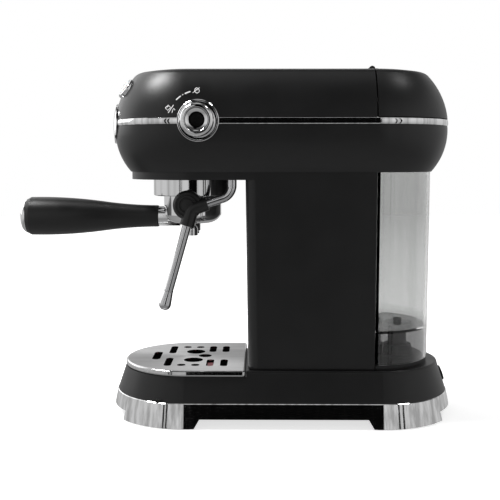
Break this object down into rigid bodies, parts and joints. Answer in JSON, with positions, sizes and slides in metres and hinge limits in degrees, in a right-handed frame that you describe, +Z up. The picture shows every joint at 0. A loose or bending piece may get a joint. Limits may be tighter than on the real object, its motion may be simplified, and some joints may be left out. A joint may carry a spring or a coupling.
{
  "type": "espresso machine",
  "caption": "Compact retro espresso machine with a pill-shaped head and base, portafilter, swivelling steam wand, drip tray and lift-off water tank behind the column.",
  "frame": {"origin": "centre of the base's stadium footprint, on the surface the machine stands on", "axes": "+Z up, -Y towards the user at the front, +X to the user's right, the side with the steam knob and wand"},
  "size_m": [0.1685, 0.4185, 0.3338],
  "materials": {
    "housing_black": "semi-gloss black moulding",
    "underside_black": "matt black moulding",
    "rubber_black": "soft black rubber",
    "chrome": "polished chrome plate",
    "polished_steel": "polished stainless steel",
    "brushed_steel": "brushed stainless sheet with a polished edge",
    "grip_black": "satin black phenolic",
    "button_white": "glossy off-white button cap",
    "float_red": "red plastic float",
    "tank_smoke": "smoke-tinted clear plastic",
    "valve_grey": "dark grey technical plastic",
    "brass": "machined brass",
    "cast_aluminium": "die-cast aluminium",
    "pump_body": "coated steel frame",
    "hose_white": "translucent silicone hose",
    "board_green": "green circuit board"
  },
  "bodies": {
    "root": {"base_shell": "housing_black", "base_skirt": "chrome", "base_bottom_plate": "underside_black", "rubber_feet": "rubber_black", "base_screws": "polished_steel", "cord_inlet": "underside_black", "column_shell": "housing_black", "column_back_panel": "housing_black", "neck_plate": "housing_black", "head_lower_shell": "housing_black", "head_upper_shell": "housing_black", "head_screws": "polished_steel", "chrome_band": "chrome", "cup_warmer_plate": "brushed_steel", "badge_plate": "chrome", "button_bezels": "chrome", "button_switches": "valve_grey", "knob_escutcheon": "chrome", "steam_valve": "brass", "group_collar": "chrome", "group_gasket": "rubber_black", "shower_screen": "polished_steel", "shower_screen_screw": "polished_steel", "thermoblock": "cast_aluminium", "thermostats": "cast_aluminium", "wand_swivel_nut": "chrome", "tank_seat": "underside_black", "tank_seat_seal": "rubber_black", "water_pump": "pump_body", "pump_mounts": "rubber_black", "solenoid_valve": "valve_grey", "suction_hose": "hose_white", "brew_hose": "hose_white", "steam_hoses": "hose_white", "control_board": "board_green"},
    "tank": {"water_tank": "tank_smoke", "tank_frame": "underside_black", "lid_hinge_pin": "polished_steel", "tank_valve": "valve_grey", "tank_valve_spring": "polished_steel"},
    "tank_lid": {"tank_lid": "housing_black"},
    "drip_tray": {"drip_tray": "underside_black"},
    "drip_plate": {"drip_plate": "brushed_steel"},
    "drip_float": {"drip_float": "float_red"},
    "portafilter": {"portafilter_body": "chrome", "portafilter_spout": "chrome", "filter_basket": "polished_steel", "handle_grip": "grip_black", "handle_end_cap": "chrome", "handle_rod": "polished_steel"},
    "steam_knob": {"steam_knob": "chrome", "knob_insert": "grip_black", "knob_spindle": "polished_steel"},
    "button_left": {"button_left": "button_white"},
    "button_centre": {"button_centre": "button_white"},
    "button_right": {"button_right": "button_white"},
    "steam_wand": {"wand_pipe": "polished_steel", "wand_grip": "grip_black", "wand_tube": "polished_steel", "wand_tip": "polished_steel"}
  },
  "joints": [
    {"name": "tank_lift", "type": "slide", "parent": "root", "child": "tank", "axis": [0, 0, 1], "range_m": [0, 0.23]},
    {"name": "lid_hinge", "type": "hinge", "parent": "tank", "child": "tank_lid", "pos_m": [0, 0.084, 0.331], "axis": [1, 0, 0], "range_deg": [0, 100]},
    {"name": "tray_lift", "type": "slide", "parent": "root", "child": "drip_tray", "axis": [0, 0, 1], "range_m": [0, 0.03]},
    {"name": "plate_lift", "type": "slide", "parent": "drip_tray", "child": "drip_plate", "axis": [0, 0, 1], "range_m": [0, 0.018]},
    {"name": "float_rise", "type": "slide", "parent": "drip_tray", "child": "drip_float", "axis": [0, 0, 1], "range_m": [0, 0.006]},
    {"name": "portafilter_turn", "type": "hinge", "parent": "root", "child": "portafilter", "pos_m": [0, -0.087, 0.2], "axis": [0, 0, 1], "range_deg": [-45, 0]},
    {"name": "knob_turn", "type": "hinge", "parent": "root", "child": "steam_knob", "pos_m": [0.077, -0.0764, 0.2802], "axis": [1, 0, 0], "range_deg": [-32, 32]},
    {"name": "wand_swivel", "type": "hinge", "parent": "root", "child": "steam_wand", "pos_m": [0.05, -0.047, 0.224], "axis": [0, 0, 1], "range_deg": [0, 80]},
    {"name": "button_left_press", "type": "slide", "parent": "root", "child": "button_left", "axis": [0.3122, 0.7573, -0.5736], "range_m": [0, 0.0016], "stiffness_N_per_m": 600},
    {"name": "button_centre_press", "type": "slide", "parent": "root", "child": "button_centre", "axis": [0, 0.8192, -0.5736], "range_m": [0, 0.0016], "stiffness_N_per_m": 600},
    {"name": "button_right_press", "type": "slide", "parent": "root", "child": "button_right", "axis": [-0.3122, 0.7573, -0.5736], "range_m": [0, 0.0016], "stiffness_N_per_m": 600}
  ]
}
